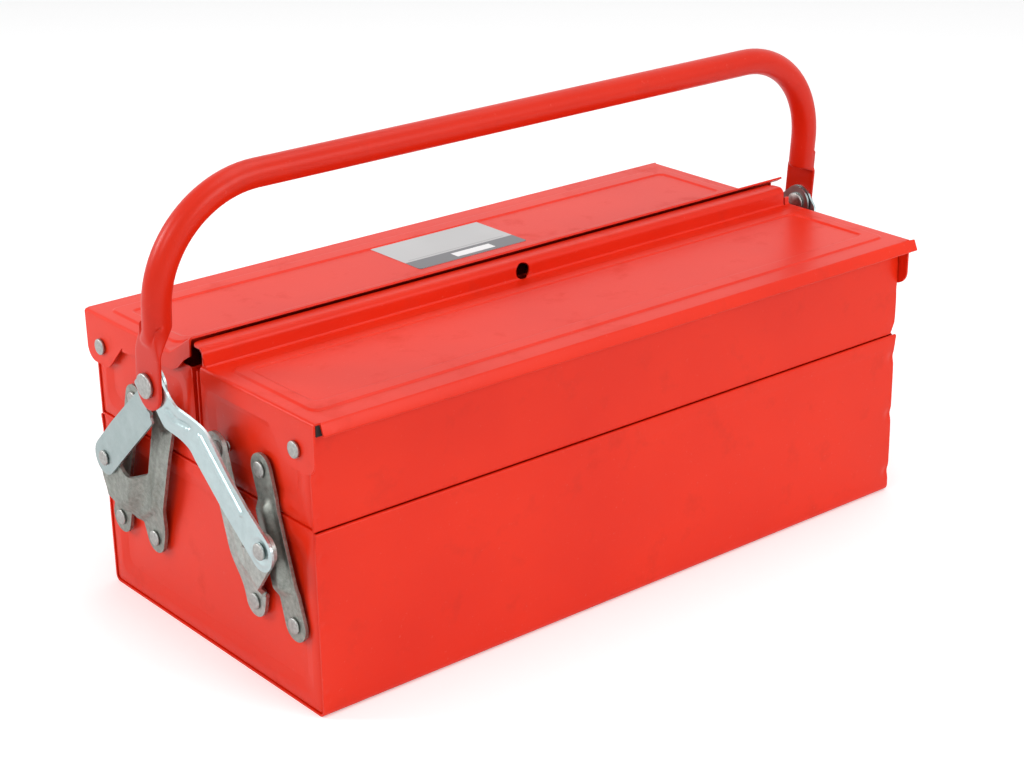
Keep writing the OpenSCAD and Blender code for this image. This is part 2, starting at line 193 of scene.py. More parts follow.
handled, place, ends = shader_group(
    "handled_surface",
    [("Tone", "NodeSocketFloat"), ("Grime", "NodeSocketFloat"), ("Speck", "NodeSocketFloat")],
)
handled.links.new(noise(handled, place, 9, 3), ends.inputs["Tone"])
handled.links.new(remap(handled, noise(handled, place, 38, 6, 0.65), 0.56, 0.78), ends.inputs["Grime"])
handled.links.new(remap(handled, noise(handled, place, 420, 3, 0.6), 0.66, 0.76), ends.inputs["Speck"])


def add_group(tree, group):
    node = tree.nodes.new("ShaderNodeGroup")
    node.node_tree = group
    return node


def painted(name, dark, light):
    """Gloss enamel over steel: an even red, a little grime and fine specks."""
    paint = bpy.data.materials.new(name)
    paint.use_nodes = True
    tree = paint.node_tree
    finish = tree.nodes["Principled BSDF"]
    marks = add_group(tree, handled)
    place = tree.nodes.new("ShaderNodeTexCoord").outputs["Object"]
    red = blend_colour(tree, remap(tree, marks.outputs["Tone"], 0.3, 0.7), dark, light)
    red = blend_colour(tree, remap(tree, marks.outputs["Grime"], 0, 1, 0, 0.2), red, (0.25, 0.02, 0.012))
    red = blend_colour(tree, remap(tree, marks.outputs["Speck"], 0, 1, 0, 0.12), red, (0.85, 0.3, 0.25))
    tree.links.new(red, finish.inputs["Base Color"])
    tree.links.new(remap(tree, marks.outputs["Grime"], 0, 1, 0.34, 0.5), finish.inputs["Roughness"])
    tree.links.new(bump(tree, noise(tree, place, 800, 2), 0.15, 0.0002), finish.inputs["Normal"])
    finish.inputs["Specular IOR Level"].default_value = 0.25
    return paint


enamel = painted("red_enamel", (0.72, 0.02, 0.004), (0.8, 0.027, 0.005))

# ---- Zinc and steel ------------------------------------------------------------
# The front arms are bright zinc plate with a bluish cast, the back arms and the
# rivets greyer ones. Cranks, links, spacers and washers are duller plate with
# brown stains, the front cranks lighter than the rest.


def plated_metal(name, grain_scale, dark, light, stain, rough, marked=0.5, metallic=1):
    """Plating over steel: a fine grain, slow changes of tone and a few stains."""
    metal = bpy.data.materials.new(name)
    metal.use_nodes = True
    tree = metal.node_tree
    finish = tree.nodes["Principled BSDF"]
    marks = add_group(tree, handled)
    place = tree.nodes.new("ShaderNodeTexCoord").outputs["Object"]
    grain = noise(tree, place, grain_scale, 4, 0.7)
    tone = blend_colour(tree, remap(tree, grain, 0.3, 0.7), dark, light)
    tone = blend_colour(tree, remap(tree, marks.outputs["Grime"], 0, 1, 0, marked), tone, stain)
    tone = blend_colour(tree, remap(tree, marks.outputs["Speck"], 0, 1, 0, marked), tone, stain)
    tree.links.new(tone, finish.inputs["Base Color"])
    finish.inputs["Metallic"].default_value = metallic
    tree.links.new(remap(tree, grain, 0.3, 0.7, *rough), finish.inputs["Roughness"])
    tree.links.new(bump(tree, grain, 0.3 * marked, 0.0002), finish.inputs["Normal"])
    return metal


zinc = plated_metal(
    "bright_zinc", grain_scale=150, dark=(0.45, 0.56, 0.57), light=(0.54, 0.66, 0.67),
    stain=(0.38, 0.42, 0.42), rough=(0.28, 0.36), marked=0.2,
)
grey_zinc = plated_metal(
    "grey_zinc", grain_scale=150, dark=(0.34, 0.42, 0.42), light=(0.43, 0.51, 0.51),
    stain=(0.28, 0.31, 0.3), rough=(0.34, 0.44), marked=0.3,
)
rivet_zinc = plated_metal(
    "rivet_zinc", grain_scale=500, dark=(0.3, 0.3, 0.29), light=(0.52, 0.52, 0.5),
    stain=(0.2, 0.2, 0.18), rough=(0.36, 0.5),
)
steel = plated_metal(
    "dull_steel", grain_scale=340, dark=(0.2, 0.212, 0.192), light=(0.38, 0.4, 0.365),
    stain=(0.12, 0.1, 0.065), rough=(0.4, 0.56), metallic=0.9,
)
light_steel = plated_metal(
    "light_steel", grain_scale=340, dark=(0.3, 0.318, 0.3), light=(0.5, 0.525, 0.495),
    stain=(0.2, 0.17, 0.12), rough=(0.38, 0.52), marked=0.4, metallic=0.9,
)

# Plain turned rings: spacers behind the base's straps, washers under the lids' ears.
for node in ("base_spacers", "front_lid_washers", "back_lid_washers"):
    kept = frame["nodes"][node]
    for index in range(len(kept.data.materials)):
        kept.data.materials[index] = steel

# ---- Base and trays --------------------------------------------------------
# Each is one sheet folded up into the two long walls and the floor. The rim is
# rolled in to a hem, and spot welds to the end panels leave small dents.
MM = 0.001
RIGHT, LEFT, FRONT, BACK = 1, -1, 1, -1


def size_of(node):
    low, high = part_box(node)
    return low / MM, high / MM


half_l = size_of("base_body")[1].x
sheet_t = 1.1
seam_z = size_of("base_body")[1].z


def arc(y, z, r, start, stop, steps=8):
    angles = [math.radians(start + (stop - start) * i / steps) for i in range(steps + 1)]
    return [(y + r * math.cos(a), z + r * math.sin(a)) for a in angles]


def lines(*spans):
    found = set()
    for start, stop, step in spans:
        count = max(1, round((stop - start) / step))
        found.update(round(start + (stop - start) * i / count, 4) for i in range(count + 1))
    return sorted(found)


def dip(distance, reach):
    return math.exp(-((distance / reach) ** 2))


def finished(name, mesh, thickness, material, body, nodes, soft=0.3):
    """Gives a pressed surface its thickness and softened edges, and puts it in its place."""
    piece = bpy.data.objects.new(name, mesh)
    scene.collection.objects.link(piece)
    mesh.materials.append(material)
    mesh.shade_smooth()
    if thickness:
        solid = piece.modifiers.new("thickness", "SOLIDIFY")
        solid.thickness = thickness * MM
        solid.offset = -1
        solid.use_even_offset = True
    if soft:
        edge = piece.modifiers.new("edge", "BEVEL")
        edge.width = soft * MM
        edge.segments = 2
        edge.limit_method = "ANGLE"
        edge.angle_limit = math.radians(42)
        edge.harden_normals = True
    graph = bpy.context.evaluated_depsgraph_get()
    solid_mesh = bpy.data.meshes.new_from_object(piece.evaluated_get(graph), depsgraph=graph)
    piece.modifiers.clear()
    piece.data = solid_mesh
    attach(piece, body)
    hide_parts(*nodes)
    return piece


def weld_heights(low, high):
    height = high - low
    return [low + 0.13 * height, low + 0.5 * height, low + 0.86 * height]


def wall_heights(low, high):
    """Where a wall has points: a few along it, and more round its spot welds."""
    start, stop = low + 5, high - 3
    near = [(w - 5, w + 5, 1) for w in weld_heights(low, high)]
    heights = lines((start, stop, 7), *near)
    return [z for z in heights if start < z < stop]


def trough(name, body, corner_r, settle, bead, far_dent, nick):
    low, high = size_of(name)
    heights = wall_heights(low.z, high.z)
    low.z -= settle
    roll, hem = 1.2, 7
    path = [(low.y + 2 * roll, high.z - hem)]
    path += arc(low.y + roll - bead, high.z - roll, roll, 0, 180)
    path += [(low.y, z) for z in reversed(heights)]
    path += arc(low.y + corner_r, low.z + corner_r, corner_r, 180, 270)
    path += [(y, low.z) for y in lines((low.y + corner_r, high.y - corner_r, 12))[1:-1]]
    path += arc(high.y - corner_r, low.z + corner_r, corner_r, 270, 360)
    path += [(high.y, z) for z in heights]
    path += arc(high.y - roll + bead, high.z - roll, roll, 0, 180)
    path += [(high.y - 2 * roll, high.z - hem)]
    hem_steps = 5
    hem_l = half_l - 3.8
    columns = lines((-half_l, -half_l + 14, 1), (-half_l + 14, half_l - 14, 14), (half_l - 14, half_l, 1))
    columns = sorted(set(columns + [-hem_l, hem_l]))
    middle = (low.y + high.y) / 2
    mesh = bmesh.new()
    grid = []
    for x in columns:
        row = []
        for y, z in path:
            push = 0.0
            if abs(y - low.y) < 0.01 or abs(y - high.y) < 0.01:
                push = 0.16 * math.sin(x / 61 + z / 17) * math.sin(math.pi * (z - low.z) / (high.z - low.z))
                for weld in weld_heights(low.z, high.z):
                    push += 0.7 * dip(math.hypot(x + half_l - 3.4, z - weld), 2.2)
                    push += far_dent * dip(math.hypot(x - half_l + 1.5, z - weld), 3.4)
            inward = 1 if y < middle else -1
            from_corner = z - low.z + min(y - low.y, high.y - y)
            cut = nick * max(0, 1 - from_corner / 5) * max(0, 1 + (x - half_l) / 6)
            row.append(mesh.verts.new(((x - cut) * MM, (y + inward * push) * MM, z * MM)))
        grid.append(row)
    last = len(path) - 1
    for i in range(len(columns) - 1):
        beyond = columns[i + 1] > hem_l + 0.01 or columns[i] < -hem_l - 0.01
        for j in range(last):
            if beyond and (j < hem_steps or j >= last - hem_steps):
                continue
            mesh.faces.new((grid[i][j], grid[i][j + 1], grid[i + 1][j + 1], grid[i + 1][j]))
    bmesh.ops.delete(mesh, geom=[v for v in mesh.verts if not v.link_faces], context="VERTS")
    sheet = bpy.data.meshes.new(name + "_sheet")
    mesh.to_mesh(sheet)
    finished(name + "_sheet", sheet, sheet_t, enamel, body, [name])


tray_settle = 2.1
trough("base_body", "base", corner_r=4, settle=0, bead=0.9, far_dent=1.2, nick=0)
for tray in ("front_tray", "back_tray"):
    trough(tray + "_body", tray, corner_r=1, settle=tray_settle, bead=0, far_dent=0.3, nick=4)

# ---- End panels --------------------------------------------------------------
# A pressed plate closes each end: a flat border, a soft slope and a sunk,
# slightly crowned field. A flange turned in on three sides is welded to the walls.


def round_rect(y0, y1, z0, z1, low_r, high_r):
    return (
        arc(y1 - low_r, z0 + low_r, low_r, 270, 360)
        + arc(y1 - high_r, z1 - high_r, high_r, 0, 90)
        + arc(y0 + high_r, z1 - high_r, high_r, 90, 180)
        + arc(y0 + low_r, z0 + low_r, low_r, 180, 270)
    )


def end_panel(name, body, border, corner, settle):
    low, high = size_of(name)
    end = RIGHT if name.endswith("right") else LEFT
    outer = half_l - 0.4
    slope, sunk, crown = 6.5, 1.3, 0.4
    seam = 0.8
    edge = (low.y + seam, high.y - seam, low.z + seam - settle, high.z)

    def loop(inset, low_r, high_r, x):
        y0, y1, z0, z1 = edge
        outline = round_rect(y0 + inset, y1 - inset, z0 + inset, z1 - inset, low_r, high_r)
        return [(x, y, z) for y, z in outline]

    flange_top = high.z - 8.2
    loops = []
    for depth in (9, 1.6):
        around = loop(-0.9, corner + 0.9, 0.8, outer - depth)
        loops.append([(x, y, min(z, flange_top)) for x, y, z in around])
    loops += [loop(-0.65, corner + 0.65, 0.8, outer - 0.75), loop(0, corner, 0.8, outer - 0.25)]
    loops += [loop(0.5, corner, 0.8, outer), loop(border - 1, 6, 6, outer)]
    for inset, drop in ((0, 0), (0.4, 0.04), (slope - 0.4, sunk - 0.04), (slope, sunk)):
        loops.append(loop(border + inset, 7, 7, outer - drop))
    deepest = min(high.y - low.y, high.z - low.z) / 2 - 1.5
    reach = deepest - border - slope
    for i in range(1, 5):
        t = i / 4
        radius = 7 * (1 - t) + 0.8
        swell = crown * math.sin(t * math.pi / 2)
        loops.append(loop(border + slope + reach * t, radius, radius, outer - sunk + swell))
    mesh = bmesh.new()
    rings = [[mesh.verts.new((end * x * MM, y * MM, z * MM)) for x, y, z in ring] for ring in loops]
    flange_bands = 3
    along_top = range(9, 26)
    for k in range(len(rings) - 1):
        a, b = rings[k], rings[k + 1]
        for i in range(len(a)):
            if k < flange_bands and i in along_top:
                continue
            j = (i + 1) % len(a)
            face = [a[i], a[j], b[j], b[i]]
            mesh.faces.new(face if end == RIGHT else face[::-1])
    bmesh.ops.delete(mesh, geom=[v for v in mesh.verts if not v.link_faces], context="VERTS")
    mesh.faces.new(rings[-1] if end == RIGHT else rings[-1][::-1])
    sheet = bpy.data.meshes.new(name + "_plate")
    mesh.to_mesh(sheet)
    finished(name + "_plate", sheet, sheet_t, enamel, body, [name])


for end_name in ("left", "right"):
    end_panel("base_end_" + end_name, "base", border=6.5, corner=2.8, settle=0)
    for tray in ("front_tray", "back_tray"):
        end_panel(tray + "_end_" + end_name, tray, border=5.5, corner=1.4, settle=tray_settle)

# ---- Lids ----------------------------------------------------------------------
# Each lid is one pressed blank: a raised frame round its panel, a lip folded
# down in front and a flange with an ear at each end. The front one's inner edge
# rises to a rolled ridge, and the back one's ramps up beside it, a little higher.


def rounded(points):
    """An outline whose corners (u, v, radius) are rounded."""
    found = []
    for i, point in enumerate(points):
        if len(point) == 2 or point[2] == 0:
            found.append((point[0], point[1]))
            continue
        here = Vector(point[:2])
        before = Vector(points[i - 1][:2]) - here
        after = Vector(points[(i + 1) % len(points)][:2]) - here
        half = before.angle(after) / 2
        reach = min(point[2] / math.tan(half), before.length * 0.49, after.length * 0.49)
        radius = reach * math.tan(half)
        centre = here + (before.normalized() + after.normalized()).normalized() * (radius / math.sin(half))
        start = here + before.normalized() * reach - centre
        stop = here + after.normalized() * reach - centre
        turn = start.angle_signed(stop)
        for k in range(7):
            spoke = start.copy()
            spoke.rotate(Matrix.Rotation(-turn * k / 6, 2))
            found.append(tuple(centre + spoke))
    return found


def circle(u, v, r, steps=24):
    return arc(u, v, r, 0, 360 - 360 / steps, steps - 1)


def blank(outline, holes, cuts_u, cuts_v):
    """A flat cut sheet, with extra lines across it where it is going to be pressed."""
    mesh = bmesh.new()
    for ring in [outline, *holes]:
        corners = [mesh.verts.new((u, v, 0)) for u, v in ring]
        for a, b in zip(corners, corners[1:] + corners[:1]):
            mesh.edges.new((a, b))
    bmesh.ops.triangle_fill(mesh, use_beauty=True, edges=mesh.edges[:])
    for axis, cuts in (((1, 0, 0), cuts_u), ((0, 1, 0), cuts_v)):
        for cut in cuts:
            everything = mesh.verts[:] + mesh.edges[:] + mesh.faces[:]
            bmesh.ops.bisect_plane(
                mesh, geom=everything, dist=0.001, plane_co=Vector(axis) * cut, plane_no=axis
            )
    bmesh.ops.remove_doubles(mesh, verts=mesh.verts[:], dist=0.05)
    bmesh.ops.dissolve_degenerate(mesh, edges=mesh.edges[:], dist=0.02)
    mesh.normal_update()
    wrong = [f for f in mesh.faces if f.normal.z < 0]
    bmesh.ops.reverse_faces(mesh, faces=wrong)
    return mesh


def pressed(name, mesh, shape, mirror, thickness, material, body, nodes, soft=0.3):
    """Presses a blank: shape places each of its points, mirror has the signs of its end and side."""
    for vert in mesh.verts:
        x, y, z = shape(vert.co.x, vert.co.y)
        vert.co = (mirror[0] * x * MM, mirror[1] * y * MM, z * MM)
    if mirror[0] * mirror[1] < 0:
        bmesh.ops.reverse_faces(mesh, faces=mesh.faces[:])
    sheet = bpy.data.meshes.new(name)
    mesh.to_mesh(sheet)
    return finished(name, sheet, thickness, material, body, nodes, soft)


def smooth(value):
    t = min(1, max(0, value))
    return t * t * (3 - 2 * t)


def outside(x, y, x0, x1, y0, y1, r):
    """Distance out of a rounded rectangle, below 0 inside it."""
    dx = abs(x - (x0 + x1) / 2) - (x1 - x0) / 2 + r
    dy = abs(y - (y0 + y1) / 2) - (y1 - y0) / 2 + r
    return math.hypot(max(dx, 0), max(dy, 0)) + min(max(dx, dy), 0) - r


class Path:
    """A folded sheet's outer face seen from its end: points [y, z], measured along."""

    def __init__(self, points):
        self.points = [Vector(p) for p in points]
        self.marks = [0]
        for a, b in zip(self.points, self.points[1:]):
            self.marks.append(self.marks[-1] + (b - a).length)

    def at(self, v):
        k = 0
        while k < len(self.marks) - 2 and v > self.marks[k + 1]:
            k += 1
        a, b = self.points[k], self.points[k + 1]
        along = (b - a).normalized()
        return a + along * (v - self.marks[k]), Vector((-along.y, along.x))

    def of(self, y):
        for k in range(len(self.points) - 1):
            a, b = self.points[k], self.points[k + 1]
            if a.x <= y <= b.x and b.x - a.x > 0.01 and self.marks[k] > lip_l:
                return self.marks[k] + (y - a.x) / (b.x - a.x) * (b - a).length
        a, b = self.points[-2], self.points[-1]
        return self.marks[-1] + (y - b.x) / (b.x - a.x) * (b - a).length


lid_low, lid_high = size_of("front_lid")
lid_half = lid_high.x
lid_front = lid_low.y + 1
hinge_y, hinge_z = [j["pos_m"] for j in frame["joints"] if j["name"] == "front_lid_turn"][0][1:]
hinge_y, hinge_z = hinge_y / MM, hinge_z / MM
lid_top = seam_z + 60.4
ridge_h = 10.8
lid_t = 1.1
fold_r = 1.8
lip_l = 3
rivet_hole_r = 2.65
padlock_r = 4.9
lip_points = (
    arc(lid_front - 0.9, lid_top - 6.1, 0.9, 280, 156, 5)
    + arc(lid_front + 1.6, lid_top - 1.2, 1.2, 156, 90, 5)
)
foot_mark = len(lip_points)


def lid(name, inner_points, lip_ends, edge_ends, flange_low, inner_flange, band):
    path = Path(lip_points + inner_points)
    side = FRONT if name.startswith("front") else BACK
    plain = Path(lip_points + [(-20.5, lid_top), (-9, lid_top)]) if side == FRONT else path
    corner_u = lid_half - fold_r
    fold_l = fold_r * math.pi / 2
    start_v = path.marks[foot_mark - 1]
    end_v = path.marks[-1]
    foot_v = path.marks[foot_mark]

    def flange_point(y, z):
        v = plain.of(y)
        drop = plain.at(v)[0].y - z
        return (corner_u + fold_l + drop - fold_r, v)

    edge = [(lid_front + 2.1, lid_top - fold_r - 0.2)]
    edge += arc(hinge_y - 7.5, hinge_z - 2.8, 8.2, 185, 270, 8)
    edge += flange_low + inner_flange
    edge = [flange_point(y, z) for y, z in edge]

    def half(end):
        lip, tip = lip_ends[end], edge_ends[end]
        found = [(lip, 0, 1.2), (lip, start_v - 1, 0.5)]
        found += [(corner_u - 2, start_v - 0.4), (corner_u - 1, edge[0][1])] + edge
        if side == FRONT:
            inner_v = edge[-1][1]
            foot = min(tip + 1.2, corner_u - 0.3)
            found += [(foot, inner_v), (foot, foot_v + 0.6), (tip, foot_v + 0.8)]
            return found + [(tip, end_v, 5)]
        if tip > lid_half:
            found = [(p[0], min(p[1], end_v - 5.6), *p[2:]) for p in found]
            return found + [(corner_u, end_v - 5), (tip, end_v - 5, 0.5), (tip, end_v, 0.5)]
        return found + [(corner_u + 0.3, end_v, 0.8)]

    outline = rounded(half(1) + [(-p[0], *p[1:]) for p in reversed(half(0))])
    ear_hole = [flange_point(y, z) for y, z in circle(hinge_y, hinge_z, rivet_hole_r)]
    holes = [ear_hole, [(-u, v) for u, v in ear_hole]]
    if side == FRONT:
        holes.append(circle(-2.8, foot_v + 5.6, padlock_r))
    x0, x1, y0, y1 = band

    def shape(u, v):
        spread = abs(u)
        tab = v > end_v - 5.2 if side == BACK and u > 0 else v > foot_v + 0.4 and spread < corner_u
        spot, out = (path if v < start_v or tab or spread < edge_ends[0] - 5 else plain).at(v)
        x, drop = spread, 0
        if tab and side == FRONT and u < 0:
            x += 2.2 * smooth((spread - 190) / 19) * smooth((v - foot_v) / 4)
        if spread > corner_u and v > start_v and not (side == BACK and tab and edge_ends[1] > lid_half):
            turn = (spread - corner_u) / fold_r
            if turn < math.pi / 2:
                x = corner_u + fold_r * math.sin(turn)
                drop = fold_r * (1 - math.cos(turn))
            else:
                x = lid_half
                drop = fold_r + spread - corner_u - fold_l
        raised = 0
        if lid_front + 3 < spot.x < -14.5 and spread < corner_u and start_v < v < foot_v:
            inner = outside(spread, spot.x, -x0, x0, y0[0], y0[1], 4)
            outer = outside(spread, spot.x, -x1, x1, y1[0], y1[1], 6)
            raised = 0.8 * smooth(inner / 1.3) * smooth(-outer / 1.3)
            raised += 0.15 * math.sin(u / 47 + 1) * smooth(-inner / 20)
        place = spot + out * raised
        return math.copysign(x, u), place.x, place.y - drop

    bends = [corner_u + fold_l * k / 6 for k in range(7)]
    cuts_u = lines((192, 207, 0.6), (20, 190, 17)) + bends
    cuts_u = [0] + cuts_u + [-u for u in cuts_u]
    spans = [(-101.5, -85, 0.6), (y1[1] - 3.5, y1[1] + 0.5, 0.6)]
    spans += [(y0[1] - 1, y0[1] + 3.5, 0.6), (y0[0] + 3, y0[1] - 3, 12)]
    cuts_v = [path.of(y) for y in lines(*spans)] + path.marks[1:-1] + [start_v + 0.4]
    mesh = blank(outline, holes, cuts_u, cuts_v)
    pressed(name + "_sheet", mesh, shape, (1, side), lid_t, enamel, name, [name])


ridge_y = 12.6
ridge_points = (
    arc(-ridge_y - 1.5, lid_top + 1.5, 1.5, -90, 0, 5)
    + arc(-ridge_y + 4, lid_top + ridge_h - 4, 4, 180, 90, 8)
    + [(-1.2, lid_top + ridge_h)]
)
lid(
    "front_lid", ridge_points, lip_ends=(208.3, 214.2), edge_ends=(209.6, 205.5),
    flange_low=[(hinge_y + 6, hinge_z - 10.8), (hinge_y + 12, hinge_z - 8.5), (hinge_y + 23, lid_top - 11)],
    inner_flange=arc(-ridge_y - 1.4, lid_top - 5.5, 5.2, 270, 360, 6) + [(-ridge_y + 3.8, lid_top - 2)],
    band=(195, 203.5, (-86, -30.5), (-97.5, -22)),
)
ramp_points = [(-21, lid_top), (0.3, lid_top + 13.4)]
lid(
    "back_lid", ramp_points, lip_ends=(209, 212.8), edge_ends=(lid_half, 216),
    flange_low=[
        (hinge_y + 5, hinge_z - 10.8), (hinge_y + 8, hinge_z - 9),
        (hinge_y + 22, hinge_z + 5.2), (hinge_y + 22.5, hinge_z + 3),
    ],
    inner_flange=[
        (-56, lid_top - 13), (-23, lid_top - 10), (-13.5, lid_top - 7),
        (-7, lid_top - 1), (-0.5, lid_top + 3), (0, lid_top + 10.5),
    ],
    band=(195, 203.5, (-86, -33.5), (-97.5, -27)),
)

# A near-black plate in the open corner of each lip is painted shade: it stands for the shadow inside the
# slot.
shadow_black = plated_metal(
    "painted_shadow_black", grain_scale=300, dark=(0.004, 0.003, 0.003), light=(0.012, 0.009, 0.008),
    stain=(0.02, 0.01, 0.006), rough=(0.7, 0.85), metallic=0,
)
for side_name, side in (("front", FRONT), ("back", BACK)):
    mesh = bmesh.new()
    bmesh.ops.create_cube(mesh, size=1)
    middle = Vector((-208.4, side * (lid_front + 1.9), lid_top - 4.1)) * MM
    tab_size = Matrix.Diagonal((4.2 * MM, 0.8 * MM, 5.6 * MM, 1))
    bmesh.ops.transform(mesh, matrix=Matrix.Translation(middle) @ tab_size, verts=mesh.verts)
    lid_name = side_name + "_lid"
    tab_mesh = bpy.data.meshes.new(lid_name + "_tab")
    mesh.to_mesh(tab_mesh)
    finished(lid_name + "_tab", tab_mesh, 0, shadow_black, lid_name, [lid_name], 0.1)

# ---- Cranks and links -----------------------------------------------------------
# Stamped straps that carry the trays. A crank has a lobe stepped out for the
# handle's arm and a dish for its tray rivet; a link has a long pressed rib.


def pivot(joint):
    found = [j["pos_m"] for j in frame["joints"] if j["name"] == joint][0]
    return Vector((found[1] / MM, found[2] / MM))


inner_base_pin = pivot("open")
outer_base_pin = pivot("front_link_turn")
inner_tray_pin = pivot("front_tray_turn")
arm_pin = pivot("front_arm_turn")
handle_pin = pivot("handle_swing")
link_v = inner_tray_pin - inner_base_pin
link_l = link_v.length
strap_t = 2
strap_face = half_l + 2.6
crank_face = strap_face + 3.4
lobe_face = strap_face + 9.9
dish_face = strap_face + 1.6
eye_face = dish_face + 1.2


def leaned(pin, top):
    """Across and along directions of a part that stands from pin towards top."""
    along = (top - pin).normalized()
    return Vector((along.y, -along.x)), along


def slant(value, low, high, start, stop):
    return low + (high - low) * smooth((value - start) / (stop - start))


def strap(name, body, nodes, pin, top, outline, holes, cuts_u, cuts_v, face, thickness, material):
    across, along = leaned(pin, top)
    end = RIGHT if name.endswith("right") else LEFT
    side = FRONT if name.startswith("front") else BACK

    def shape(u, v):
        spot = pin + across * u + along * v
        return face(u, v), spot.x, spot.y

    mesh = blank(outline, holes, cuts_u, cuts_v)
    pressed(name + "_strap", mesh, shape, (end, side), thickness, material, body, nodes)


def capsule(u, v, start, stop, r, rise):
    """Height of a rib at a point, for a rib pressed with a round tool."""
    a, b = Vector(start), Vector(stop)
    span = b - a
    t = min(1, max(0, (Vector((u, v)) - a).dot(span) / span.length_squared))
    far = (Vector((u, v)) - a - span * t).length
    return max(0, math.sqrt(max(0, r * r - far * far)) - r + rise)


lobe = arm_pin - inner_base_pin
crank_across, crank_along = leaned(inner_base_pin, inner_tray_pin)
lobe_u, lobe_v = lobe.dot(crank_across), lobe.dot(crank_along)
crank_top = [(8.5, 2), (8.5, link_l - 20, 8)] + arc(0, link_l, 9.6, -15, 195, 18)
crank_top += [(-8.5, 38.5, 5), (-14, 33.6, 8), (-22, 31.2, 8), (-28.4, 35.2)]
crank_eye = arc(0, 0, 8.7, 214, 352, 12)
crank_outlines = {
    "front": rounded(
        crank_top
        + arc(lobe_u, lobe_v, 8.4, 20, 238, 18)
        + [(-26, 12.6, 3), (-14.5, 5.4, 1), (-12, 3.2, 0.6)]
        + crank_eye
    ),
    "back": rounded(
        crank_top
        + arc(lobe_u, lobe_v, 8.4, 20, 196, 16)
        + [(-42.7, 17.8, 10), (-37, 11.5, 6), (-34.8, 8.1, 1), (-25, 8.6, 6), (-15.5, 5.4, 3)]
        + crank_eye
    ),
}
crank_pins = ((0, 0), (0, link_l), (lobe_u, lobe_v))
crank_holes = [circle(u, v, rivet_hole_r) for u, v in crank_pins]


def crank_height(u, v):
    level = slant(v, strap_face, crank_face, 5, 30)
    level -= slant(v, 0, crank_face - eye_face, link_l - 26, link_l - 11)
    out = (v * 0.64 - u * 0.77) - 10.5
    level = max(level, slant(out, strap_face, crank_face, 0, 4))
    level += slant(out, 0, lobe_face - crank_face, 2, 15) * smooth((-u - 8) / 9)
    level += capsule(u, v, (-1, 16), (0.5, link_l - 20), 7, 0.8)
    far = math.hypot(u, v - link_l)
    return level - slant(-far, 0, eye_face - dish_face, -7.4, -6.2)


link_outline = arc(0, link_l, 8.4, 0, 180, 16) + [(-8, link_l / 2)]
link_outline += arc(0, 0, 9, 180, 360, 16) + [(8, link_l / 2)]
link_holes = [circle(0, 0, rivet_hole_r), circle(0, link_l, rivet_hole_r)]


def link_height(u, v):
    """A link is pressed to a ridge along its middle, highest toward its inner edge."""
    middle = smooth((v - 14) / 7) * smooth((link_l - 14 - v) / 7)
    crest = 0.15 + 0.85 * smooth((u + 6) / 6.5) if u < 0.5 else 1 - 0.25 * smooth((u - 0.5) / 7)
    return strap_face + 3.9 * middle * crest


dish_lines = (link_l - 7.5, link_l + 7.5, 0.9)
for side_name, plate in (("front", light_steel), ("back", steel)):
    for end_name in ("left", "right"):
        name = side_name + "_crank_" + end_name
        strap(
            name, side_name + "_cranks", [name], inner_base_pin, inner_tray_pin,
            crank_outlines[side_name], crank_holes, lines((-28, -8, 1.6), (-7.5, 7.5, 0.9)),
            lines((0, 34, 1.7), dish_lines), crank_height, strap_t, plate,
        )
        name = side_name + "_link_" + end_name
        strap(
            name, side_name + "_links", [name], outer_base_pin, outer_base_pin + link_v,
            link_outline, link_holes, lines((-7.5, 7.5, 0.9)),
            lines((14, 24, 1), (link_l - 24, link_l - 14, 1)), link_height, strap_t, steel,
        )

# ---- Arms ------------------------------------------------------------------------
# Bright plated straps from the cranks' lobes up to the handle. They step out to
# reach it; the front ones have a long narrow bead.
arm_l = (handle_pin - arm_pin).length
arm_face = lobe_face + 2.1
arm_t = 1.4
eye_out = {"front": 8.9, "back": 6.8}
end_out = {RIGHT: 0, LEFT: 1.8}
arm_outlines = {
    "front": rounded(
        [(-8.6, arm_l - 11, 4), (-5, arm_l - 19, 6), (-5.4, arm_l - 30, 6), (-6.8, arm_l - 40, 8)]
        + [(-5.6, 40, 8), (-6.6, 20, 8)]
        + arc(1.2, 0, 10.5, 170, 360, 15)
        + [(14.6, 32, 8), (15.6, arm_l - 40, 8), (14.2, arm_l - 27, 8)]
        + [(14.6, arm_l - 19, 4), (8.2, arm_l - 11, 4)]
        + arc(0, arm_l, 10.5, -30, 205, 18)
    ),
    "back": rounded(
        [(-10.4, arm_l - 34, 8), (-11, 25, 8)]
        + arc(-0.3, 0, 10, 180, 360, 14)
        + [(9, arm_l - 37, 1), (5.2, arm_l - 36, 1), (5.2, arm_l - 12, 1.5)]
        + arc(0, arm_l, 10, -40, 180, 18)
    ),
}


def arm_height(side_name, end):
    def height(u, v):
        out = eye_out[side_name] + end_out[end]
        if side_name == "back":
            return arm_face + slant(v, 0, out, arm_l - 37, arm_l - 17)
        level = arm_face + slant(v, 0, out, arm_l - 37, arm_l - 8)
        level += capsule(u, v, (0.2, 22), (0.2, arm_l - 35), 2, 1.2)
        level += 0.4 * dip(abs(math.hypot(u, v) - 7.3), 0.9)
        level -= capsule(u, v, (1.2, arm_l - 16), (2.2, arm_l - 19), 2, 1.3)
        return level - capsule(u, v, (3.6, arm_l - 21.3), (1.8, arm_l - 26.5), 2.4, 1.6)

    return height


